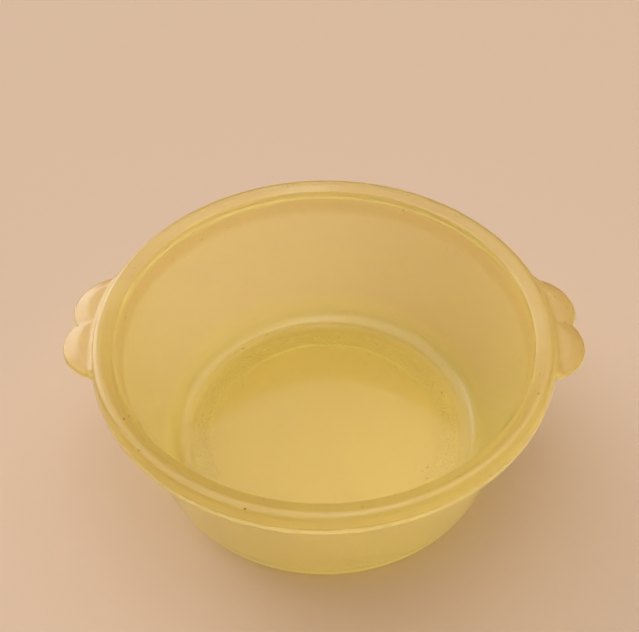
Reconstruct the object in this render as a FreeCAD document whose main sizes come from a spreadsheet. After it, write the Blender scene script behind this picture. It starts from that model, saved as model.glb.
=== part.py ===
import FreeCAD, Part
import math
import os
from types import SimpleNamespace

import Sketcher

# Round glass baking dish, moulded in one pressing, with two lobed tab handles at the rim.
# Millimetres. The axis of revolution is Z, the dish stands on Z = 0 and its handles point
# along +X and -X. The pressing is split into its named regions, which meet face to face.

SIZES = {
    # whole dish
    "overall_height": 75.4,  # table to the crest of the rim
    "base_radius": 73.4,  # outer wall run down to the table, heel not rounded
    "wall_lean": 9.6,  # degrees that the wall opens from upright
    "wall_thickness": 4.4,  # square to the wall
    # bottom
    "floor_height": 5.0,  # table to the inner floor
    "foot_width": 8.0,  # width of the foot ring with its inner step
    "foot_step": 0.8,  # width of that step
    "foot_recess": 0.8,  # height of that step, underside of the floor above the table
    "heel_land": 1.0,  # flat strip of the foot that belongs to the heel
    "heel_radius": 14.7,  # outside rounding between foot and wall
    "inner_heel_radius": 9.6,  # inside rounding between floor and wall
    "heel_height": 20.0,  # table to the top of the heel region
    # rim
    "rim_height": 12.5,  # crest down to the faint inner line where the mouth opens wider
    "mouth_lean": 13.0,  # degrees that the inside opens above that line
    "mouth_round": 0.9,  # rounding of the inner edge of the rim
    "bevel_angle": 26.0,  # slope of the rim's top down towards the mouth
    "crest_round": 2.9,  # rounding over the top of the rim
    "band_height": 8.2,  # crest down to the underside of the band
    "band_overhang": 5.93,  # how far the band's edge stands out from the wall
    "band_flare": 13.8,  # degrees that the band's face widens downward
    "band_edge_round": 1.3,  # rounding of the band's lower edge
    "ledge_round": 2.8,  # hollow rounding between the wall and the band's underside
    # handles
    "handle_reach": 10.3,  # from the band's edge out to the tip of a lobe
    "handle_thickness": 5.6,  # height of the tab
    "handle_edge_flat": 0.6,  # straight strip left between its upper and lower rounding
    "lobe_radius": 17.8,  # outline of a lobe seen from above
    "lobe_offset": 9.4,  # sideways from the handle's middle to a lobe's middle
    "notch_round": 1.2,  # valley between the two lobes
    "blend_radius": 7.5,  # hollow curve from a lobe back to the band
    "blend_depth": 2.2,  # how deep under the band's edge that curve ends
    "root_depth": 4.4,  # how deep under the band's edge the handle starts
}

NEAR = 1e-4  # mm, two points closer than this are the same point

doc = FreeCAD.newDocument("baking_dish")
sheet = doc.addObject("Spreadsheet::Sheet", "sizes")
for row, (name, value) in enumerate(SIZES.items(), start=1):
    sheet.set(f"A{row}", name)
    sheet.set(f"B{row}", str(value))
    sheet.setAlias(f"B{row}", name)
doc.recompute()


class Size:
    """A length or angle: its number, to draw with, and the formula that ties it to the sheet."""

    def __init__(self, number, formula):
        self.number = number
        self.formula = formula

    def __add__(self, other):
        return Size(self.number + other.number, f"({self.formula} + {other.formula})")

    def __sub__(self, other):
        return Size(self.number - other.number, f"({self.formula} - {other.formula})")

    def __mul__(self, other):
        return Size(self.number * other.number, f"({self.formula} * {other.formula})")

    def __truediv__(self, other):
        return Size(self.number / other.number, f"({self.formula} / {other.formula})")


def plain(number):
    return Size(number, str(number))


def tangent(angle):
    return Size(math.tan(math.radians(angle.number)), f"tan({angle.formula})")


def cosine(angle):
    return Size(math.cos(math.radians(angle.number)), f"cos({angle.formula})")


size = SimpleNamespace(**{name: Size(value, f"sizes.{name}") for name, value in SIZES.items()})
ZERO = plain(0)
UPRIGHT = plain(90)
LEFTWARD = plain(180)
DOWNWARD = plain(270)

# ---- sizes that follow from the ones above


def wall_radius(height, inner=False):
    """Radius of the wall's outer or inner face at a height."""
    outer = size.base_radius + height * tangent(size.wall_lean)
    return outer - size.wall_thickness / cosine(size.wall_lean) if inner else outer


HALF_CORNER = (UPRIGHT - size.wall_lean) / plain(2)
FOOT_OUTER = size.base_radius - size.heel_radius * tangent(HALF_CORNER) - size.heel_land
FOOT_INNER = FOOT_OUTER - size.foot_width
RIM_START = size.overall_height - size.rim_height
LEDGE = size.overall_height - size.band_height
BAND_RADIUS = wall_radius(LEDGE) + size.band_overhang
LOBE_CENTRE = BAND_RADIUS + size.handle_reach - size.lobe_radius
HANDLE_ROUND = (size.handle_thickness - size.handle_edge_flat) / plain(2)


# ---- drawing in a sketch


def new_body(label):
    body = doc.addObject("PartDesign::Body", label)
    body.Label = label
    return body


def new_sketch(body, name, plane):
    """A sketch on one of the body's own origin planes."""
    sketch = body.newObject("Sketcher::SketchObject", name)
    support = next(item for item in body.Origin.OriginFeatures if item.Role == plane)
    sketch.AttachmentSupport = [(support, "")]
    sketch.MapMode = "FlatFace"
    return sketch


def line(sketch, start, end, construction=False):
    segment = Part.LineSegment(FreeCAD.Vector(*start, 0), FreeCAD.Vector(*end, 0))
    return sketch.addGeometry(segment, construction)


def arc(sketch, centre, start, end):
    """The shorter arc about centre between the directions of start and end."""
    first = math.atan2(start[1] - centre[1], start[0] - centre[0])
    last = math.atan2(end[1] - centre[1], end[0] - centre[0])
    if (last - first) % (2 * math.pi) > math.pi:
        first, last = last, first
    radius = math.dist(centre, start)
    circle = Part.Circle(FreeCAD.Vector(*centre, 0), FreeCAD.Vector(0, 0, 1), radius)
    return sketch.addGeometry(Part.ArcOfCircle(circle, first, last), False)


def towards(start, goal, distance):
    """The point at a distance from start on the way to goal."""
    share = distance / math.dist(start, goal)
    return (start[0] + share * (goal[0] - start[0]), start[1] + share * (goal[1] - start[1]))


def crossing(first, slope, second, other_slope):
    """Where two lines cross. Each has a point and a slope in degrees from level."""
    ax, ay = math.cos(math.radians(slope)), math.sin(math.radians(slope))
    bx, by = math.cos(math.radians(other_slope)), math.sin(math.radians(other_slope))
    gap = (second[0] - first[0], second[1] - first[1])
    along = (gap[0] * by - gap[1] * bx) / (ax * by - ay * bx)
    return (first[0] + along * ax, first[1] + along * ay)


def join(sketch, first, second, kind="Coincident"):
    """Joins the ends of two curves that lie nearest each other."""
    ends = [(i, j) for i in (1, 2) for j in (1, 2)]
    i, j = min(
        ends,
        key=lambda pair: sketch.getPoint(first, pair[0]).distanceToPoint(
            sketch.getPoint(second, pair[1])
        ),
    )
    sketch.addConstraint(Sketcher.Constraint(kind, first, i, second, j))


def bind(sketch, name, value, kind, *where):
    """Adds a named constraint of a size and ties it to the sheet."""
    number = math.radians(value.number) if kind == "Angle" else value.number
    index = sketch.addConstraint(Sketcher.Constraint(kind, *where, number))
    sketch.renameConstraint(index, name)
    sketch.setExpression(f"Constraints.{name}", value.formula)


def place(sketch, name, curve, end, across, up):
    """Places one end of a curve by two sizes. A side of zero means that it lies on the axis."""
    if across is ZERO:
        sketch.addConstraint(Sketcher.Constraint("PointOnObject", curve, end, -2))
    else:
        bind(sketch, f"{name}_across", across, "DistanceX", -1, 1, curve, end)
    if up is ZERO:
        sketch.addConstraint(Sketcher.Constraint("PointOnObject", curve, end, -1))
    else:
        bind(sketch, f"{name}_up", up, "DistanceY", -1, 1, curve, end)


def rounded_outline(sketch, corners):
    """Draws a closed outline of straight sides, with its given corners rounded.

    corners holds (point, rounding), with None for a sharp corner. Returns the sides and the
    roundings as curve numbers: side i leaves corner i.
    """
    points = [point for point, _ in corners]
    starts, ends, centres = [], [], []
    for i, (point, rounding) in enumerate(corners):
        before, after = points[i - 1], points[(i + 1) % len(points)]
        reach, centre = 0.0, None
        if rounding:
            come = towards((0, 0), (before[0] - point[0], before[1] - point[1]), 1)
            leave = towards((0, 0), (after[0] - point[0], after[1] - point[1]), 1)
            half = math.acos(come[0] * leave[0] + come[1] * leave[1]) / 2
            reach = rounding.number / math.tan(half)
            middle = (point[0] + come[0] + leave[0], point[1] + come[1] + leave[1])
            centre = towards(point, middle, rounding.number / math.sin(half))
        ends.append(towards(point, before, reach))
        starts.append(towards(point, after, reach))
        centres.append(centre)
    after = range(1, len(corners) + 1)
    sides = [line(sketch, starts[i], ends[j % len(corners)]) for i, j in enumerate(after)]
    roundings = []
    for i, (_, rounding) in enumerate(corners):
        if rounding:
            curve = arc(sketch, centres[i], ends[i], starts[i])
            join(sketch, sides[i - 1], curve, "Tangent")
            join(sketch, curve, sides[i], "Tangent")
            bind(sketch, f"rounding{i}", rounding, "Radius", curve)
            roundings.append(curve)
        else:
            join(sketch, sides[i - 1], sides[i])
            roundings.append(None)
    return sides, roundings


def turn_round(body, sketch):
    """Turns the body's sketch once round the dish's axis."""
    turn = body.newObject("PartDesign::Revolution", f"{body.Name}_turn")
    turn.Profile = sketch
    turn.ReferenceAxis = (sketch, ["V_Axis"])
    turn.Angle = 360
    sketch.Visibility = False


def turned_ring(label, corners):
    """A ring or disc with straight sides, from its corners as (across, up)."""
    body = new_body(label)
    sketch = new_sketch(body, f"{label}_profile", "XZ_Plane")
    sharp = [((across.number, up.number), None) for across, up in corners]
    sides, _ = rounded_outline(sketch, sharp)
    for i, (across, up) in enumerate(corners):
        place(sketch, f"corner{i}", sides[i], 1, across, up)
    turn_round(body, sketch)
    return body


# ---- floor: the disc inside the foot, its underside clear of the table


def make_floor():
    low, top = size.foot_recess, size.floor_height
    corners = [(ZERO, low), (FOOT_INNER, low), (FOOT_INNER, top), (ZERO, top)]
    return turned_ring("floor", corners)


# ---- foot ring: the flat ring that the dish stands on


def make_foot_ring():
    low, top = size.foot_recess, size.floor_height
    corners = [
        (FOOT_INNER, low),
        (FOOT_INNER + size.foot_step, ZERO),
        (FOOT_OUTER, ZERO),
        (FOOT_OUTER, top),
        (FOOT_INNER, top),
    ]
    return turned_ring("foot_ring", corners)


# ---- heel: the rounded corner from the foot up into the wall


def make_heel():
    body = new_body("heel")
    sketch = new_sketch(body, "heel_profile", "XZ_Plane")
    start, top, floor = FOOT_OUTER, size.heel_height, size.floor_height
    outer_top, inner_top = wall_radius(top), wall_radius(top, inner=True)
    corners = [
        ((start.number, 0), None),
        ((size.base_radius.number, 0), size.heel_radius),
        ((outer_top.number, top.number), None),
        ((inner_top.number, top.number), None),
        ((wall_radius(floor, inner=True).number, floor.number), size.inner_heel_radius),
        ((start.number, floor.number), None),
    ]
    sides, _ = rounded_outline(sketch, corners)
    under, outer_side, across, inner_side, inside, cut = sides
    place(sketch, "foot_end", under, 1, start, ZERO)
    place(sketch, "outer_top", across, 1, outer_top, top)
    place(sketch, "inner_top", across, 2, inner_top, top)
    place(sketch, "floor_end", cut, 1, start, floor)
    sketch.addConstraint(Sketcher.Constraint("Horizontal", under))
    sketch.addConstraint(Sketcher.Constraint("Horizontal", inside))
    bind(sketch, "outer_slope", UPRIGHT - size.wall_lean, "Angle", outer_side)
    bind(sketch, "inner_slope", DOWNWARD - size.wall_lean, "Angle", inner_side)
    turn_round(body, sketch)
    return body


# ---- wall: the plain leaning wall between the heel and the rim


def make_wall():
    low, top = size.heel_height, RIM_START
    corners = [
        (wall_radius(low, inner=True), low),
        (wall_radius(low), low),
        (wall_radius(top), top),
        (wall_radius(top, inner=True), top),
    ]
    return turned_ring("wall", corners)


# ---- rim band: the thick collar round the mouth, with its ledge, flared face and crest


def make_rim_band():
    body = new_body("rim_band")
    sketch = new_sketch(body, "rim_band_profile", "XZ_Plane")
    inner_low, outer_low = wall_radius(RIM_START, inner=True), wall_radius(RIM_START)
    edge_centre = BAND_RADIUS - size.band_edge_round
    crest_level = size.overall_height - size.crest_round
    face_slope = UPRIGHT + size.band_flare
    bevel_slope = LEFTWARD + size.bevel_angle
    mouth_slope = DOWNWARD - size.mouth_lean

    # the sharp corners that the roundings of the edge, the crest and the mouth replace
    flare, bevel = math.radians(size.band_flare.number), math.radians(size.bevel_angle.number)
    edge, crest = size.band_edge_round.number, size.crest_round.number
    on_face = (
        edge_centre.number + edge * math.cos(flare),
        LEDGE.number + edge + edge * math.sin(flare),
    )
    edge_corner = crossing(on_face, face_slope.number, (0, LEDGE.number), 0)
    beside_crest = crossing(on_face, face_slope.number, (0, crest_level.number), 0)
    crest_centre = (beside_crest[0] - crest / math.cos(flare), crest_level.number)
    on_bevel = (
        crest_centre[0] - crest * math.sin(bevel),
        crest_centre[1] + crest * math.cos(bevel),
    )
    crest_corner = crossing(on_face, face_slope.number, on_bevel, bevel_slope.number)
    inner_start = (inner_low.number, RIM_START.number)
    mouth_corner = crossing(inner_start, mouth_slope.number, on_bevel, bevel_slope.number)

    corners = [
        (inner_start, None),
        ((outer_low.number, RIM_START.number), None),
        ((wall_radius(LEDGE).number, LEDGE.number), size.ledge_round),
        (edge_corner, size.band_edge_round),
        (crest_corner, size.crest_round),
        (mouth_corner, size.mouth_round),
    ]
    sides, roundings = rounded_outline(sketch, corners)
    base, outer_side, underside, face, top_bevel, inner_side = sides
    place(sketch, "inner_start", base, 1, inner_low, RIM_START)
    place(sketch, "outer_start", base, 2, outer_low, RIM_START)
    bind(sketch, "outer_slope", UPRIGHT - size.wall_lean, "Angle", outer_side)
    sketch.addConstraint(Sketcher.Constraint("Horizontal", underside))
    bind(sketch, "ledge", LEDGE, "DistanceY", -1, 1, underside, 2)
    bind(sketch, "edge_centre", edge_centre, "DistanceX", -1, 1, roundings[3], 3)
    bind(sketch, "face_slope", face_slope, "Angle", face)
    bind(sketch, "crest_level", crest_level, "DistanceY", -1, 1, roundings[4], 3)
    bind(sketch, "bevel_slope", bevel_slope, "Angle", top_bevel)
    bind(sketch, "mouth_slope", mouth_slope, "Angle", inner_side)
    turn_round(body, sketch)
    return body


# ---- handles: flat tabs with two lobes, carried on from the band


def blend_middle(lobe_centre, lobe_distance, axis_distance):
    """The point at these distances from a lobe's centre and from the dish's axis."""
    reach = math.hypot(*lobe_centre)
    along = (axis_distance**2 - lobe_distance**2 + reach**2) / (2 * reach)
    aside = math.sqrt(axis_distance**2 - along**2)
    ux, uy = lobe_centre[0] / reach, lobe_centre[1] / reach
    return (along * ux - aside * uy, along * uy + aside * ux)


def handle_outline(body):
    """The tab from above, pointing along +X with one lobe each side of the X axis."""
    sketch = new_sketch(body, f"{body.Name}_outline", "XY_Plane")
    sketch.setExpression("AttachmentOffset.Base.z", LEDGE.formula)
    blend_end, root = BAND_RADIUS - size.blend_depth, BAND_RADIUS - size.root_depth
    lobe, notch, blend = (
        size.lobe_radius.number,
        size.notch_round.number,
        size.blend_radius.number,
    )
    offset = size.lobe_offset.number
    notch_reach = math.sqrt((lobe + notch) ** 2 - offset**2)
    notch_centre = (LOBE_CENTRE.number + notch_reach, 0.0)
    near_blend = blend_middle(
        (LOBE_CENTRE.number, offset), lobe + blend, blend_end.number + blend
    )

    lobes, edges, in_notch, at_root = [], [], [], []
    for word, side in (("left", 1), ("right", -1)):
        lobe_centre = (LOBE_CENTRE.number, side * offset)
        blend_centre = (near_blend[0], side * near_blend[1])
        notch_end = towards(lobe_centre, notch_centre, lobe)
        blend_start = towards(lobe_centre, blend_centre, lobe)
        band_end = towards((0, 0), blend_centre, blend_end.number)
        root_end = towards((0, 0), blend_centre, root.number)
        lobe_arc = arc(sketch, lobe_centre, notch_end, blend_start)
        blend_arc = arc(sketch, blend_centre, blend_start, band_end)
        edge = line(sketch, band_end, root_end)
        spoke = line(sketch, (0, 0), band_end, construction=True)
        join(sketch, lobe_arc, blend_arc, "Tangent")
        join(sketch, blend_arc, edge)
        bind(sketch, f"{word}_lobe", size.lobe_radius, "Radius", lobe_arc)
        bind(sketch, f"{word}_blend", size.blend_radius, "Radius", blend_arc)
        bind(sketch, f"{word}_lobe_out", LOBE_CENTRE, "DistanceX", -1, 1, lobe_arc, 3)
        aside = (-1, 1, lobe_arc, 3) if side > 0 else (lobe_arc, 3, -1, 1)
        bind(sketch, f"{word}_lobe_aside", size.lobe_offset, "DistanceY", *aside)
        # the blend ends where it runs along a circle just under the band's edge
        sketch.addConstraint(Sketcher.Constraint("Coincident", spoke, 1, -1, 1))
        join(sketch, spoke, blend_arc)
        sketch.addConstraint(Sketcher.Constraint("PointOnObject", blend_arc, 3, spoke))
        sketch.addConstraint(Sketcher.Constraint("PointOnObject", edge, 2, spoke))
        bind(sketch, f"{word}_end", blend_end, "Distance", spoke)
        lobes.append(lobe_arc)
        edges.append(edge)
        in_notch.append(notch_end)
        at_root.append(root_end)
    notch_arc = arc(sketch, notch_centre, *in_notch)
    root_arc = arc(sketch, (0, 0), *at_root)
    for lobe_arc, edge in zip(lobes, edges):
        join(sketch, notch_arc, lobe_arc, "Tangent")
        join(sketch, root_arc, edge)
    bind(sketch, "notch", size.notch_round, "Radius", notch_arc)
    bind(sketch, "root", root, "Radius", root_arc)
    sketch.addConstraint(Sketcher.Constraint("Coincident", root_arc, 3, -1, 1))
    sketch.Visibility = False
    return sketch


def make_handle(label, angle, band):
    """One handle, turned to its side of the dish and trimmed to the band's face."""
    body = new_body(f"{label}_tab")
    pad = body.newObject("PartDesign::Pad", f"{label}_pad")
    pad.Profile = handle_outline(body)
    pad.setExpression("Length", size.handle_thickness.formula)
    doc.recompute()
    root = (BAND_RADIUS - size.root_depth).number
    outer_edges = []
    for number, edge in enumerate(pad.Shape.Edges, start=1):
        ends = [vertex.Point for vertex in edge.Vertexes]
        level = abs(ends[0].z - ends[-1].z) < NEAR
        outside_root = min(math.hypot(point.x, point.y) for point in ends) > root + NEAR
        if level and outside_root:
            outer_edges.append(f"Edge{number}")
    rounding = body.newObject("PartDesign::Fillet", f"{label}_rounding")
    rounding.Base = (pad, outer_edges)
    rounding.setExpression("Radius", HANDLE_ROUND.formula)
    body.Placement = FreeCAD.Placement(
        FreeCAD.Vector(0, 0, 0), FreeCAD.Rotation(FreeCAD.Vector(0, 0, 1), angle)
    )
    handle = doc.addObject("Part::Cut", label)
    handle.Label = label
    handle.Base = body
    handle.Tool = band
    return handle


# ---- build, check and write

rim_band = make_rim_band()
parts = [
    make_floor(),
    make_foot_ring(),
    make_heel(),
    make_wall(),
    rim_band,
    make_handle("left_handle", 180, rim_band),
    make_handle("right_handle", 0, rim_band),
]
doc.recompute()

for item in doc.Objects:
    if "Invalid" in item.State or "Error" in item.State:
        raise RuntimeError(f"{item.Name} did not build: {item.State}")
    if item.TypeId == "Sketcher::SketchObject" and item.solve() != 0:
        raise RuntimeError(f"{item.Name} has constraints that don't agree")
for part in parts:
    if part.Shape.isNull() or not part.Shape.isValid() or len(part.Shape.Solids) != 1:
        raise RuntimeError(f"{part.Label} is not one valid solid")

os.makedirs("parts", exist_ok=True)
for part in parts:
    part.Shape.exportStep(f"parts/{part.Label}.step")
    box = part.Shape.optimalBoundingBox(False)
    print(
        f"{part.Label}: {part.Shape.Volume / 1000:.1f} cm3,"
        f" X {box.XMin:.2f} {box.XMax:.2f}, Y {box.YMin:.2f} {box.YMax:.2f},"
        f" Z {box.ZMin:.2f} {box.ZMax:.2f}"
    )
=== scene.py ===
import math

import bpy
from mathutils import Matrix, Vector


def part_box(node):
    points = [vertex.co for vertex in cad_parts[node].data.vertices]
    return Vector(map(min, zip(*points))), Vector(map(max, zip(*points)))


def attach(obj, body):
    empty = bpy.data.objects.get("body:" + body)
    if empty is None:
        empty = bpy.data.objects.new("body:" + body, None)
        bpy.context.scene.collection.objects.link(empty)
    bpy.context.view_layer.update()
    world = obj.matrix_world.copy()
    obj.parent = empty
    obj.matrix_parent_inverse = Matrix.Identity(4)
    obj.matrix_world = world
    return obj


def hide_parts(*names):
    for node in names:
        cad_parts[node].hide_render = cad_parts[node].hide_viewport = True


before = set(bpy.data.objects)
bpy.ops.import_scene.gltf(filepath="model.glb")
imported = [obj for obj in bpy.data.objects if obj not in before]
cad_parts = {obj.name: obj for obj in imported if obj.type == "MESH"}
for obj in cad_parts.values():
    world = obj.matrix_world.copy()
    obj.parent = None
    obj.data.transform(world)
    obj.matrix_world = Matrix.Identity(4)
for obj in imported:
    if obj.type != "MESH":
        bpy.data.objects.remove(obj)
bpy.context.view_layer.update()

# Round baking dish of pale yellow pressed glass, with a collared rim and two lobed tab
# handles. Metres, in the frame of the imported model: Z up, the handles along X.

MM = 0.001

# ---- sizes read from the frame

OVERALL_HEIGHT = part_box("rim_band")[1][2]
BAND_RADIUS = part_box("rim_band")[1][0]
RIM_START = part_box("rim_band")[0][2]
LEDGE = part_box("right_handle")[0][2]
HANDLE_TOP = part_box("right_handle")[1][2]
LOBE_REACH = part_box("right_handle")[1][0]
HEEL_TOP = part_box("wall")[0][2]
WALL_AT_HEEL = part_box("heel")[1][0]
WALL_AT_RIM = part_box("wall")[1][0]
FLOOR_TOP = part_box("floor")[1][2]
FLOOR_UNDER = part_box("floor")[0][2]
FOOT_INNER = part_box("floor")[1][0]

# ---- sizes that the boxes don't show

WALL_THICKNESS = 4.4 * MM
HEEL_RADIUS = 14.7 * MM
INNER_HEEL_RADIUS = 9.6 * MM
FOOT_STEP = 0.8 * MM
FOOT_RAMP = 3.0 * MM  # the foot's step is soft
RING_WIDTH = 0.9 * MM  # of the mould's line round the floor
RING_STEP = 0.22 * MM
LEDGE_ROUND = 2.8 * MM
BAND_EDGE_ROUND = 2.0 * MM
BAND_FLARE = math.radians(13.8)
CREST_ROUND = 2.9 * MM
BEVEL = math.radians(26.0)
MOUTH_LEAN = math.radians(13.0)
MOUTH_ROUND = 0.9 * MM
LOBE_RADIUS = 17.8 * MM
LOBE_OFFSET = 9.4 * MM
NOTCH_ROUND = 1.2 * MM
BLEND_RADIUS = 7.5 * MM
BLEND_DEPTH = 2.2 * MM

# ---- how finely the lines are divided

FLAT_STEPS = 10
HEEL_STEPS = 14
WALL_STEPS = 24
LEDGE_STEPS = 7
EDGE_STEPS = 8
FACE_STEPS = 8
CREST_STEPS = 10
BEVEL_STEPS = 5
LIP_STEPS = 5
RING_STEPS = 8
SHORT_STEPS = 6
TAB_STEPS = 26
SECTION_POINTS = 56
SOFTENING = 3  # passes over the band's section
HAIR = 1e-6  # places closer than this count as the same

WALL_SLOPE = (WALL_AT_RIM - WALL_AT_HEEL) / (RIM_START - HEEL_TOP)
WALL_LEAN = math.atan(WALL_SLOPE)

# ---- camera, as the photograph was taken

PICTURE_WIDTH = 639.0
PICTURE_HEIGHT = 632.0
FOCAL_PIXELS = 815.0
CENTRE_PIXEL = (343.3, 316.5)
CAMERA_PLACE = (0.00714, -0.2213, 0.30465)
CAMERA_TILT = math.radians(46.02)  # looking down
CAMERA_ROLL = math.radians(0.56)
DISH_YAW = math.radians(0.6)

# ---- profile of the dish, as (radius, height)


def wall_radius(height, inner=False):
    """Radius of the wall's outer or inner face at a height."""
    outer = WALL_AT_HEEL + (height - HEEL_TOP) * WALL_SLOPE
    return outer - WALL_THICKNESS / math.cos(WALL_LEAN) if inner else outer


def quarter_round(share):
    """Height of a quarter circle, from 0 at its edge to 1 where it runs level."""
    share = min(max(share, 0.0), 1.0)
    return math.sqrt(1 - (1 - share) ** 2)


def smooth_step(share):
    """Goes from 0 to 1 with level ends."""
    share = min(max(share, 0.0), 1.0)
    return share * share * (3 - 2 * share)


def crossing(first, angle, second, other_angle):
    """Where two lines cross, each given by a point and its angle from level."""
    ax, ay = math.cos(angle), math.sin(angle)
    bx, by = math.cos(other_angle), math.sin(other_angle)
    gx, gy = second[0] - first[0], second[1] - first[1]
    along = (gx * by - gy * bx) / (ax * by - ay * bx)
    return (first[0] + along * ax, first[1] + along * ay)


def rounded(before, corner, after, radius, steps):
    """Points of the rounding that takes a corner's place, from before to after."""
    come = (Vector(before) - Vector(corner)).normalized()
    leave = (Vector(after) - Vector(corner)).normalized()
    half = come.angle(leave) / 2
    centre = Vector(corner) + (come + leave).normalized() * radius / math.sin(half)
    start = Vector(corner) + come * radius / math.tan(half) - centre
    end = Vector(corner) + leave * radius / math.tan(half) - centre
    turn = start.angle(end)
    points = []
    for step in range(steps + 1):
        share = step / steps
        spoke = (start * math.sin((1 - share) * turn) + end * math.sin(share * turn)) / math.sin(turn)
        points.append(tuple(centre + spoke))
    return points


def straight(start, end, steps):
    """Points strictly between two places."""
    return [
        (start[0] + (end[0] - start[0]) * i / steps, start[1] + (end[1] - start[1]) * i / steps)
        for i in range(1, steps)
    ]


def band_corners():
    """The sharp corners that the roundings of the band's edge, crest and mouth replace."""
    edge_centre = (BAND_RADIUS - BAND_EDGE_ROUND, LEDGE + BAND_EDGE_ROUND)
    on_face = (
        edge_centre[0] + BAND_EDGE_ROUND * math.cos(BAND_FLARE),
        edge_centre[1] + BAND_EDGE_ROUND * math.sin(BAND_FLARE),
    )
    face_angle = math.pi / 2 + BAND_FLARE
    edge = crossing(on_face, face_angle, (0, LEDGE), 0)
    crest_level = OVERALL_HEIGHT - CREST_ROUND
    beside = crossing(on_face, face_angle, (0, crest_level), 0)
    on_bevel = (
        beside[0] - CREST_ROUND / math.cos(BAND_FLARE) - CREST_ROUND * math.sin(BEVEL),
        crest_level + CREST_ROUND * math.cos(BEVEL),
    )
    crest = crossing(on_face, face_angle, on_bevel, BEVEL)
    start = (wall_radius(RIM_START, inner=True), RIM_START)
    mouth = crossing(start, math.pi / 2 - MOUTH_LEAN, on_bevel, BEVEL)
    return edge, crest, mouth


EDGE_CORNER, CREST_CORNER, MOUTH_CORNER = band_corners()
CREST_ARC = rounded(EDGE_CORNER, CREST_CORNER, MOUTH_CORNER, CREST_ROUND, CREST_STEPS)


def ledge_hollow():
    """The hollow rounding where the wall meets the underside of the ledge."""
    wall_foot, wall_top = (wall_radius(0), 0.0), (wall_radius(LEDGE), LEDGE)
    return rounded(wall_foot, wall_top, (BAND_RADIUS, LEDGE), LEDGE_ROUND, LEDGE_STEPS)


def under_and_wall():
    """From the middle of the underside out over the foot and up the wall to the ledge."""
    step = (FOOT_INNER + FOOT_STEP, 0.0)
    heel = rounded(step, (wall_radius(0), 0.0), (wall_radius(LEDGE), LEDGE), HEEL_RADIUS, HEEL_STEPS)
    hollow = ledge_hollow()
    ramp = FOOT_INNER - FOOT_RAMP
    points = [(ramp * i / FLAT_STEPS, FLOOR_UNDER) for i in range(1, FLAT_STEPS + 1)]
    for i in range(1, FLAT_STEPS + 1):
        radius = ramp + (step[0] - ramp) * i / FLAT_STEPS
        points.append((radius, FLOOR_UNDER * (1 - smooth_step(i / FLAT_STEPS))))
    points += straight(step, heel[0], SHORT_STEPS) + heel
    points += straight(heel[-1], hollow[0], WALL_STEPS) + hollow
    return points


def top_and_inside():
    """From the crest over the bevel, down the inside and in to the middle of the floor."""
    start = (wall_radius(RIM_START, inner=True), RIM_START)
    inner_foot = (wall_radius(FLOOR_TOP, inner=True), FLOOR_TOP)
    lip = rounded(CREST_CORNER, MOUTH_CORNER, start, MOUTH_ROUND, LIP_STEPS)
    heel = rounded(start, inner_foot, (0, FLOOR_TOP), INNER_HEEL_RADIUS, HEEL_STEPS)
    points = CREST_ARC[1:] + straight(CREST_ARC[-1], lip[0], BEVEL_STEPS) + lip
    points += straight(lip[-1], start, SHORT_STEPS) + [start]
    points += straight(start, heel[0], WALL_STEPS) + heel
    ring = heel[-1][0]
    for i in range(1, RING_STEPS + 1):
        fall = RING_STEP * smooth_step(i / RING_STEPS)
        points.append((ring - RING_WIDTH * i / RING_STEPS, FLOOR_TOP - fall))
    inside_ring = ring - RING_WIDTH
    for i in range(FLAT_STEPS - 1, 0, -1):
        points.append((inside_ring * i / FLAT_STEPS, FLOOR_TOP - RING_STEP))
    return points


# ---- the tab handles' outline, seen from above and pointing along +X

LOBE_CENTRE = (LOBE_REACH - LOBE_RADIUS, LOBE_OFFSET)
NOTCH_CENTRE = (
    LOBE_CENTRE[0] + math.sqrt((LOBE_RADIUS + NOTCH_ROUND) ** 2 - LOBE_OFFSET**2),
    0.0,
)
BLEND_END = BAND_RADIUS - BLEND_DEPTH
LOBE_ENDS = 0.93  # share of the blend centre's Y past which the lobe bounds the tab no longer


def blend_centre():
    """Centre of the hollow curve that leads from a lobe back to the band."""
    reach = math.hypot(*LOBE_CENTRE)
    lobe_distance, axis_distance = LOBE_RADIUS + BLEND_RADIUS, BLEND_END + BLEND_RADIUS
    along = (axis_distance**2 - lobe_distance**2 + reach**2) / (2 * reach)
    aside = math.sqrt(axis_distance**2 - along**2)
    ux, uy = LOBE_CENTRE[0] / reach, LOBE_CENTRE[1] / reach
    return (along * ux - aside * uy, along * uy + aside * ux)


BLEND_CENTRE = blend_centre()
BLEND_ANGLE = math.atan2(BLEND_CENTRE[1], BLEND_CENTRE[0])


def ray_circle(angle, centre, radius, far):
    """Distance from the axis to a circle along an angle, or None if it is missed."""
    along = centre[0] * math.cos(angle) + centre[1] * math.sin(angle)
    aside = centre[0] * math.sin(angle) - centre[1] * math.cos(angle)
    if abs(aside) >= radius:
        return None
    half = math.sqrt(radius**2 - aside**2)
    return along + half if far else along - half


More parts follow.
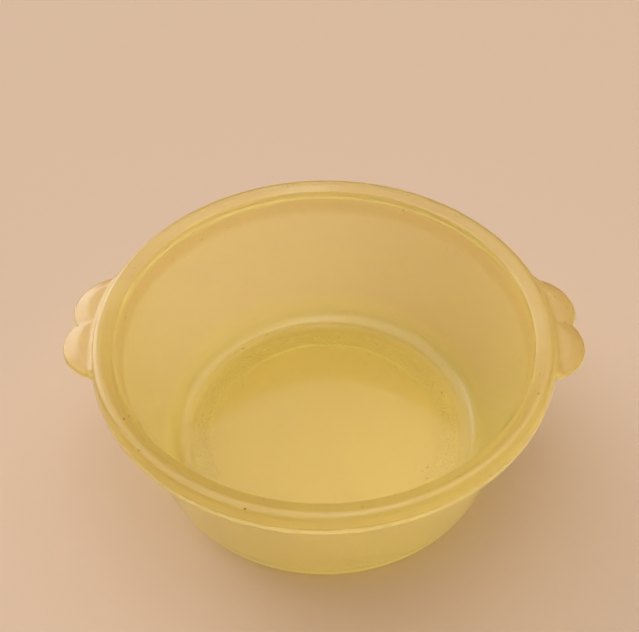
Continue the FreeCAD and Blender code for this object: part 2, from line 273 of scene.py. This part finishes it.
def handle_reach(angle):
    """How far the tab's outline lies from the axis at an angle from its middle."""
    angle = abs(angle)
    if angle >= BLEND_ANGLE:
        return BLEND_END
    lobe = ray_circle(angle, LOBE_CENTRE, LOBE_RADIUS, True) or 0.0
    notch = ray_circle(angle, NOTCH_CENTRE, NOTCH_ROUND, False)
    touch = math.atan2(
        LOBE_OFFSET * NOTCH_ROUND / (LOBE_RADIUS + NOTCH_ROUND),
        NOTCH_CENTRE[0] - (NOTCH_CENTRE[0] - LOBE_CENTRE[0]) * NOTCH_ROUND / (LOBE_RADIUS + NOTCH_ROUND),
    )
    if notch and angle < touch:
        return notch
    blend = ray_circle(angle, BLEND_CENTRE, BLEND_RADIUS, False)
    join = math.atan2(
        LOBE_CENTRE[1] + (BLEND_CENTRE[1] - LOBE_CENTRE[1]) * LOBE_RADIUS / (LOBE_RADIUS + BLEND_RADIUS),
        LOBE_CENTRE[0] + (BLEND_CENTRE[0] - LOBE_CENTRE[0]) * LOBE_RADIUS / (LOBE_RADIUS + BLEND_RADIUS),
    )
    return blend if blend and angle > join else lobe


def depth_inside(x, y):
    """How deep a point lies inside the tab's outline, seen from above."""
    y = abs(y)
    lobe = LOBE_RADIUS - math.hypot(x - LOBE_CENTRE[0], y - LOBE_CENTRE[1])
    notch = math.hypot(x - NOTCH_CENTRE[0], y) - NOTCH_ROUND
    blend = math.hypot(x - BLEND_CENTRE[0], y - BLEND_CENTRE[1]) - BLEND_RADIUS
    side = max(lobe, 0.0) if y < BLEND_CENTRE[1] * LOBE_ENDS else blend
    return max(0.0, min(side, notch, max(blend, 0.0)))


# ---- one section of the band, from the ledge over its face to the crest

EDGE_LEVEL = LEDGE + 2.7 * MM  # where the tab's outline is widest
EDGE_ABOVE = 1.0 * MM
EDGE_BELOW = 2.7 * MM
TAB_BEVEL_RISE = HANDLE_TOP - EDGE_LEVEL - EDGE_ABOVE
TAB_BEVEL_WIDTH = 5.8 * MM
TAB_KNEE = 0.15  # share of the bevel over which it turns into the level crown
TAB_ROOT_WIDTH = 1.6 * MM  # beside the band, where the tab keeps its full height
TAB_JOIN = 0.2 * MM  # the band's face goes on this far above the tab's top


def knee(share, bend):
    """Rises evenly to 1 where share is 1 and then stays level, with the corner rounded."""
    if share < 1 - bend:
        return share
    return 1 - (1 + bend - share) ** 2 / (4 * bend) if share < 1 + bend else 1.0


def tab_levels(x, y):
    """Heights of the tab's top and underside: a level crown, bevelled down to the outline."""
    depth = depth_inside(x, y)
    beyond = math.hypot(x, y) - BAND_RADIUS
    root = 1 - smooth_step(beyond / TAB_ROOT_WIDTH)
    rise = 1 - (1 - knee(depth / TAB_BEVEL_WIDTH, TAB_KNEE)) * (1 - root)
    top = EDGE_LEVEL + EDGE_ABOVE * quarter_round(depth / EDGE_ABOVE)
    top += TAB_BEVEL_RISE * rise * quarter_round(depth / EDGE_ABOVE)
    return top, EDGE_LEVEL - EDGE_BELOW * quarter_round(depth / EDGE_BELOW)


def resampled(points, count):
    """The same line with a number of evenly spaced points."""
    lengths = [0.0]
    for a, b in zip(points, points[1:]):
        lengths.append(lengths[-1] + math.dist(a, b))
    result, place = [], 0
    for i in range(count):
        goal = lengths[-1] * i / (count - 1)
        while place < len(lengths) - 2 and lengths[place + 1] < goal:
            place += 1
        span = lengths[place + 1] - lengths[place] or 1.0
        share = min(max((goal - lengths[place]) / span, 0.0), 1.0)
        a, b = points[place], points[place + 1]
        result.append((a[0] + (b[0] - a[0]) * share, a[1] + (b[1] - a[1]) * share))
    return result


def plain_section():
    """The band's outer section where there is no tab."""
    edge = rounded((0, LEDGE), EDGE_CORNER, CREST_CORNER, BAND_EDGE_ROUND, EDGE_STEPS)
    hollow_end = ledge_hollow()[-1]
    points = [hollow_end] + straight(hollow_end, edge[0], SHORT_STEPS) + edge
    return points + straight(edge[-1], CREST_ARC[0], FACE_STEPS) + [CREST_ARC[0]]


PLAIN_SECTION = plain_section()


def face_radius(height):
    """Radius of the plain band's outer face at a height above the ledge."""
    for (r0, z0), (r1, z1) in zip(PLAIN_SECTION, PLAIN_SECTION[1:]):
        if z0 <= height <= z1 and z1 > z0:
            return r0 + (r1 - r0) * (height - z0) / (z1 - z0)
    return PLAIN_SECTION[-1][0]


def section(angle):
    """The band's outer section at an angle from a handle's middle, tab included."""
    reach = handle_reach(angle)
    if reach <= face_radius(EDGE_LEVEL):
        return resampled(PLAIN_SECTION, SECTION_POINTS)
    top, under = [], []
    start = face_radius(EDGE_LEVEL)
    for i in range(TAB_STEPS + 1):
        share = math.sin(math.pi / 2 * i / TAB_STEPS)
        radius = start + (reach - start) * share
        upper, lower = tab_levels(radius * math.cos(angle), radius * math.sin(angle))
        top.append((radius, upper))
        under.append((radius, lower))
    low = [p for p in PLAIN_SECTION if p[1] < under[0][1] - HAIR or p[1] <= LEDGE + HAIR]
    low = [p for p in low if p[0] <= face_radius(max(p[1], LEDGE)) + HAIR]
    high = [p for p in PLAIN_SECTION if p[1] > top[0][1] + TAB_JOIN]
    under = [p for p in under if p[0] > low[-1][0]]
    top = [p for p in reversed(top) if not high or p[0] > high[0][0]]
    return resampled(low + under + top + (high or [PLAIN_SECTION[-1]]), SECTION_POINTS)


def softened(points, passes):
    """Rounds off a line's small corners, with its ends held."""
    for _ in range(passes):
        points = (
            points[:1]
            + [
                ((a[0] + 2 * b[0] + c[0]) / 4, (a[1] + 2 * b[1] + c[1]) / 4)
                for a, b, c in zip(points, points[1:], points[2:])
            ]
            + points[-1:]
        )
    return points


# ---- the glass as one closed mesh

HANDLE_ZONE = math.radians(26)
FINE_STEP = math.radians(0.36)
COARSE_STEP = math.radians(1.5)


def column_angles():
    """Angles round the dish, close together at the handles."""
    fine = round(HANDLE_ZONE / FINE_STEP)
    coarse = round((math.pi - 2 * HANDLE_ZONE) / COARSE_STEP)
    angles = []
    for middle in (0.0, math.pi):
        angles += [middle + HANDLE_ZONE * i / fine for i in range(-fine, fine)]
        start = middle + HANDLE_ZONE
        width = math.pi - 2 * HANDLE_ZONE
        angles += [start + width * i / coarse for i in range(coarse)]
    return angles


def from_handle(angle):
    """Angle from the nearer handle's middle."""
    return (angle + math.pi / 2) % math.pi - math.pi / 2


def make_glass():
    """The whole dish: one profile for each angle, joined all round."""
    lower, upper = under_and_wall(), top_and_inside()
    vertices, columns = [], []
    for angle in column_angles():
        line = lower[:-1] + softened(section(from_handle(angle)), SOFTENING) + upper
        columns.append(range(len(vertices), len(vertices) + len(line)))
        cosine, sine = math.cos(angle), math.sin(angle)
        vertices += [(r * cosine, r * sine, z) for r, z in line]
    under_middle, floor_middle = len(vertices), len(vertices) + 1
    vertices += [(0, 0, FLOOR_UNDER), (0, 0, FLOOR_TOP - RING_STEP)]
    faces = []
    for here, after in zip(columns, columns[1:] + columns[:1]):
        faces.append((under_middle, after[0], here[0]))
        faces.append((floor_middle, here[-1], after[-1]))
        for i in range(len(here) - 1):
            faces.append((here[i], after[i], after[i + 1], here[i + 1]))
    mesh = bpy.data.meshes.new("glass_dish")
    mesh.from_pydata(vertices, [], faces)
    mesh.validate()
    for polygon in mesh.polygons:
        polygon.use_smooth = True
    dish = bpy.data.objects.new("glass_dish", mesh)
    bpy.context.scene.collection.objects.link(dish)
    return dish


# ---- materials

# the glass's colour by height, fitted to the photograph
FLOOR_TINT = (1.0, 0.935, 0.52, 1)
WALL_TINT = (1.0, 0.875, 0.62, 1)
RIM_TINT = (0.94, 0.745, 0.44, 1)
WALL_TINT_LEVELS = (FLOOR_TOP + 1 * MM, HEEL_TOP)  # the tint changes between the two
RIM_TINT_LEVELS = (RIM_START - 2 * MM, RIM_START + 3 * MM)
WORN_COLOUR = (0.84, 0.76, 0.58, 1)
SPECK_COLOUR = (0.22, 0.13, 0.05, 1)
PAPER_COLOUR = (0.72, 0.51, 0.36, 1)
GLASS_IOR = 1.45
GLASS_ROUGHNESS = 0.16
WORN_ROUGHNESS = 0.5  # added where the foot is worn
WORN_GRAIN_SCALE = 900
WORN_GRAIN = (0.42, 0.62)  # the wear sets in between these values of the noise
COAT_WEIGHT = 0.15
COAT_ROUGHNESS = 0.01
HAZE_COLOUR = (1.0, 0.93, 0.9, 1)
HAZE_PER_METRE = 205
HAZE_FORWARD = 0.55
TAKEN_COLOUR = (1.0, 0.98, 0.45, 1)
TAKEN_PER_METRE = 66
SCUFF_INNER = FOOT_INNER - 0.3 * MM
SCUFF_OUTER = FOOT_INNER + 8.6 * MM
SCUFF_FADE = 1.5 * MM
SCUFF_TOP = 0.5 * MM
SPECK_SCALE = 900
SPECK_START = 0.84
SPECK_EDGE = 0.02
BUMP_STRENGTH = 0.06
BUMP_DISTANCE = 0.25 * MM
BUMP_SCALE = 30
PAPER_ROUGHNESS = 0.9
PAPER_SHINE = 0.1


def new_material(name):
    """A material, its node tree and its output node, with no other node."""
    material = bpy.data.materials.new(name)
    material.use_nodes = True
    tree = material.node_tree
    tree.nodes.clear()
    output = tree.nodes.new("ShaderNodeOutputMaterial")
    return material, tree, output


def math_node(tree, operation, first, second=None):
    """A Math node's output. Each input is a socket or a number."""
    node = tree.nodes.new("ShaderNodeMath")
    node.operation = operation
    for socket, value in zip(node.inputs, (first, second)):
        if isinstance(value, bpy.types.NodeSocket):
            tree.links.new(value, socket)
        elif value is not None:
            socket.default_value = value
    return node.outputs[0]


def ramp_between(tree, value, low, high, at_low=0.0, at_high=1.0):
    """Goes smoothly from at_low to at_high as value goes from low to high."""
    node = tree.nodes.new("ShaderNodeMapRange")
    node.interpolation_type = "SMOOTHSTEP"
    for name, number in zip(("From Min", "From Max", "To Min", "To Max"), (low, high, at_low, at_high)):
        node.inputs[name].default_value = number
    tree.links.new(value, node.inputs["Value"])
    return node.outputs["Result"]


def noise_value(tree, place, scale, detail=2.0, roughness=0.5):
    """A noise texture's value, with about scale waves to the metre."""
    node = tree.nodes.new("ShaderNodeTexNoise")
    node.inputs["Scale"].default_value = scale
    node.inputs["Detail"].default_value = detail
    node.inputs["Roughness"].default_value = roughness
    tree.links.new(place, node.inputs["Vector"])
    return node.outputs[0]


def mixed_colour(tree, share, first, second):
    """first where share is 0, second where it is 1. Each is a socket or a colour."""
    node = tree.nodes.new("ShaderNodeMix")
    node.data_type = "RGBA"
    tree.links.new(share, node.inputs[0])
    for socket, value in ((node.inputs[6], first), (node.inputs[7], second)):
        if isinstance(value, bpy.types.NodeSocket):
            tree.links.new(value, socket)
        else:
            socket.default_value = value
    return node.outputs[2]


def scuffed_ring(tree, place):
    """1 on the worn ring that the dish stands on, and 0 elsewhere."""
    parts = tree.nodes.new("ShaderNodeSeparateXYZ")
    tree.links.new(place, parts.inputs[0])
    squares = [math_node(tree, "POWER", math_node(tree, "ABSOLUTE", parts.outputs[i]), 2) for i in (0, 1)]
    radius = math_node(tree, "SQRT", math_node(tree, "ADD", *squares))
    inside = ramp_between(tree, radius, SCUFF_INNER, SCUFF_INNER + SCUFF_FADE)
    outside = ramp_between(tree, radius, SCUFF_OUTER - SCUFF_FADE, SCUFF_OUTER, 1.0, 0.0)
    below = ramp_between(tree, parts.outputs[2], SCUFF_TOP * 0.5, SCUFF_TOP, 1.0, 0.0)
    return math_node(tree, "MULTIPLY", math_node(tree, "MULTIPLY", inside, outside), below)


def glass_material():
    """Milky yellow pressed glass, with specks and a worn foot."""
    material, tree, output = new_material("yellow_glass")
    coordinates = tree.nodes.new("ShaderNodeTexCoord")
    place = coordinates.outputs["Object"]
    shader = tree.nodes.new("ShaderNodeBsdfPrincipled")
    shader.inputs["IOR"].default_value = GLASS_IOR
    shader.inputs["Transmission Weight"].default_value = 1.0
    shader.inputs["Coat Weight"].default_value = COAT_WEIGHT
    shader.inputs["Coat Roughness"].default_value = COAT_ROUGHNESS
    scuffed = scuffed_ring(tree, place)
    grain = ramp_between(tree, noise_value(tree, place, WORN_GRAIN_SCALE, 3.0), *WORN_GRAIN)
    worn = math_node(tree, "MULTIPLY", scuffed, grain)
    speckle = noise_value(tree, place, SPECK_SCALE, 0.0)
    specks = ramp_between(tree, speckle, SPECK_START, SPECK_START + SPECK_EDGE)
    height = tree.nodes.new("ShaderNodeSeparateXYZ")
    tree.links.new(place, height.inputs[0])
    above_floor = ramp_between(tree, height.outputs[2], *WALL_TINT_LEVELS)
    in_rim = ramp_between(tree, height.outputs[2], *RIM_TINT_LEVELS)
    tint = mixed_colour(tree, above_floor, FLOOR_TINT, WALL_TINT)
    tint = mixed_colour(tree, in_rim, tint, RIM_TINT)
    clean = mixed_colour(tree, worn, tint, WORN_COLOUR)
    colour = mixed_colour(tree, specks, clean, SPECK_COLOUR)
    tree.links.new(colour, shader.inputs["Base Color"])
    rough = math_node(tree, "MULTIPLY_ADD", worn, WORN_ROUGHNESS)
    rough.node.inputs[2].default_value = GLASS_ROUGHNESS
    tree.links.new(rough, shader.inputs["Roughness"])
    bump = tree.nodes.new("ShaderNodeBump")
    bump.inputs["Strength"].default_value = BUMP_STRENGTH
    bump.inputs["Distance"].default_value = BUMP_DISTANCE
    tree.links.new(noise_value(tree, place, BUMP_SCALE, 1.0), bump.inputs["Height"])
    tree.links.new(bump.outputs[0], shader.inputs["Normal"])
    tree.links.new(shader.outputs[0], output.inputs["Surface"])
    taken = tree.nodes.new("ShaderNodeVolumeAbsorption")
    taken.inputs["Color"].default_value = TAKEN_COLOUR
    taken.inputs["Density"].default_value = TAKEN_PER_METRE
    haze = tree.nodes.new("ShaderNodeVolumeScatter")
    haze.inputs["Color"].default_value = HAZE_COLOUR
    haze.inputs["Density"].default_value = HAZE_PER_METRE
    haze.inputs["Anisotropy"].default_value = HAZE_FORWARD
    both = tree.nodes.new("ShaderNodeAddShader")
    tree.links.new(taken.outputs[0], both.inputs[0])
    tree.links.new(haze.outputs[0], both.inputs[1])
    tree.links.new(both.outputs[0], output.inputs["Volume"])
    return material


def floor_material():
    """Plain matt paper."""
    material, tree, output = new_material("pale_paper")
    shader = tree.nodes.new("ShaderNodeBsdfPrincipled")
    shader.inputs["Base Color"].default_value = PAPER_COLOUR
    shader.inputs["Roughness"].default_value = PAPER_ROUGHNESS
    shader.inputs["Specular IOR Level"].default_value = PAPER_SHINE
    tree.links.new(shader.outputs[0], output.inputs["Surface"])
    return material


# ---- stage, lights and camera

FLOOR_LEVEL = -0.2 * MM
TABLE_SIZE = 4.0
ROOM_LEVEL = 0.08  # everywhere else
BACKDROP_COLOUR = (0.74, 0.56, 0.42, 1)  # beyond the table, seen by the camera alone
# each glow: way round from +X, height, where it starts to fade, where it ends, and level
CEILING = (140, 76, 12, 56, 1.68)
WINDOW = (141, 18, 10, 33, 3.0)
BACK_GLOW = (45, 55, 4, 26, 0.5)
TUBE_HEIGHT = 1.3  # the ceiling lamp's three tubes
TUBE_PLACES = ((0.10, 0.34), (0.07, 0.08), (0.04, -0.2))  # over the table, X and Y
TUBE_LENGTH = 0.2
TUBE_WIDTH = 0.04
TUBE_WATTS = 0.2


def make_floor():
    """The table's paper, a hair below the foot so that the two don't touch."""
    bpy.ops.mesh.primitive_plane_add(size=TABLE_SIZE, location=(0, 0, FLOOR_LEVEL))
    floor = bpy.context.object
    floor.name = "table"
    floor.data.materials.append(floor_material())
    return floor


def area_lamp(name, place, target, size, size_y, power):
    """A rectangular lamp at a place, turned to face its target."""
    data = bpy.data.lights.new(name, "AREA")
    data.shape = "RECTANGLE"
    data.size = size
    data.size_y = size_y
    data.energy = power
    lamp = bpy.data.objects.new(name, data)
    lamp.location = place
    way = Vector(target) - Vector(place)
    lamp.rotation_euler = way.to_track_quat("-Z", "Y").to_euler()
    bpy.context.scene.collection.objects.link(lamp)
    return lamp


def glow(tree, way, towards, height, core, reach, level):
    """A soft round light in the world, full to core degrees from its middle and gone at reach."""
    around, up = math.radians(towards), math.radians(height)
    node = tree.nodes.new("ShaderNodeVectorMath")
    node.operation = "DOT_PRODUCT"
    node.inputs[1].default_value = (
        math.cos(up) * math.cos(around), math.cos(up) * math.sin(around), math.sin(up)
    )
    tree.links.new(way, node.inputs[0])
    far, near = math.cos(math.radians(reach)), math.cos(math.radians(core))
    return ramp_between(tree, node.outputs["Value"], far, near, 0.0, level)


def make_room():
    """A dim room with a wide soft ceiling light and a soft window behind on the left."""
    world = bpy.data.worlds.new("room")
    world.use_nodes = True
    tree = world.node_tree
    back = tree.nodes["Background"]
    back.inputs["Color"].default_value = (1, 1, 1, 1)
    way = tree.nodes.new("ShaderNodeTexCoord").outputs["Generated"]
    level = ROOM_LEVEL
    for soft_light in (CEILING, WINDOW, BACK_GLOW):
        level = math_node(tree, "ADD", level, glow(tree, way, *soft_light))
    tree.links.new(level, back.inputs["Strength"])
    backdrop = tree.nodes.new("ShaderNodeBackground")
    backdrop.inputs["Color"].default_value = BACKDROP_COLOUR
    seen = tree.nodes.new("ShaderNodeMixShader")
    tree.links.new(tree.nodes.new("ShaderNodeLightPath").outputs["Is Camera Ray"], seen.inputs[0])
    tree.links.new(back.outputs[0], seen.inputs[1])
    tree.links.new(backdrop.outputs[0], seen.inputs[2])
    tree.links.new(seen.outputs[0], tree.nodes["World Output"].inputs["Surface"])
    bpy.context.scene.world = world


def make_lights():
    """The room's light, and the three tubes of the ceiling lamp above the table."""
    make_room()
    for number, (x, y) in enumerate(TUBE_PLACES, start=1):
        place = (x, y, TUBE_HEIGHT)
        area_lamp(f"tube_{number}", place, (x, y, 0), TUBE_LENGTH, TUBE_WIDTH, TUBE_WATTS)


def make_camera():
    """The photograph's camera."""
    data = bpy.data.cameras.new("camera")
    data.sensor_fit = "HORIZONTAL"
    data.sensor_width = 36.0
    data.lens = FOCAL_PIXELS * data.sensor_width / PICTURE_WIDTH
    data.shift_x = -(CENTRE_PIXEL[0] - PICTURE_WIDTH / 2) / PICTURE_WIDTH
    data.shift_y = (CENTRE_PIXEL[1] - PICTURE_HEIGHT / 2) / PICTURE_WIDTH
    data.clip_start = 0.01
    camera = bpy.data.objects.new("camera", data)
    turn = Matrix.Rotation(-DISH_YAW, 4, "Z")
    tilt = Matrix.Rotation(math.pi / 2 - CAMERA_TILT, 4, "X")
    roll = Matrix.Rotation(CAMERA_ROLL, 4, "Z")
    camera.matrix_world = turn @ Matrix.Translation(CAMERA_PLACE) @ tilt @ roll
    bpy.context.scene.collection.objects.link(camera)
    bpy.context.scene.camera = camera


LIGHT_BOUNCES = 32  # the light crosses the glass many times
NODES = ("floor", "foot_ring", "heel", "wall", "rim_band", "left_handle", "right_handle")

bpy.context.scene.view_settings.view_transform = "Standard"
make_camera()
dish = make_glass()
dish.data.materials.append(glass_material())
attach(dish, "root")
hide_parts(*NODES)
make_floor()
make_lights()

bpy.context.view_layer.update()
cycles = bpy.context.scene.cycles
cycles.blur_glossy = 0
for kind in ("max", "volume", "transmission", "glossy"):
    setattr(cycles, kind + "_bounces", LIGHT_BOUNCES)
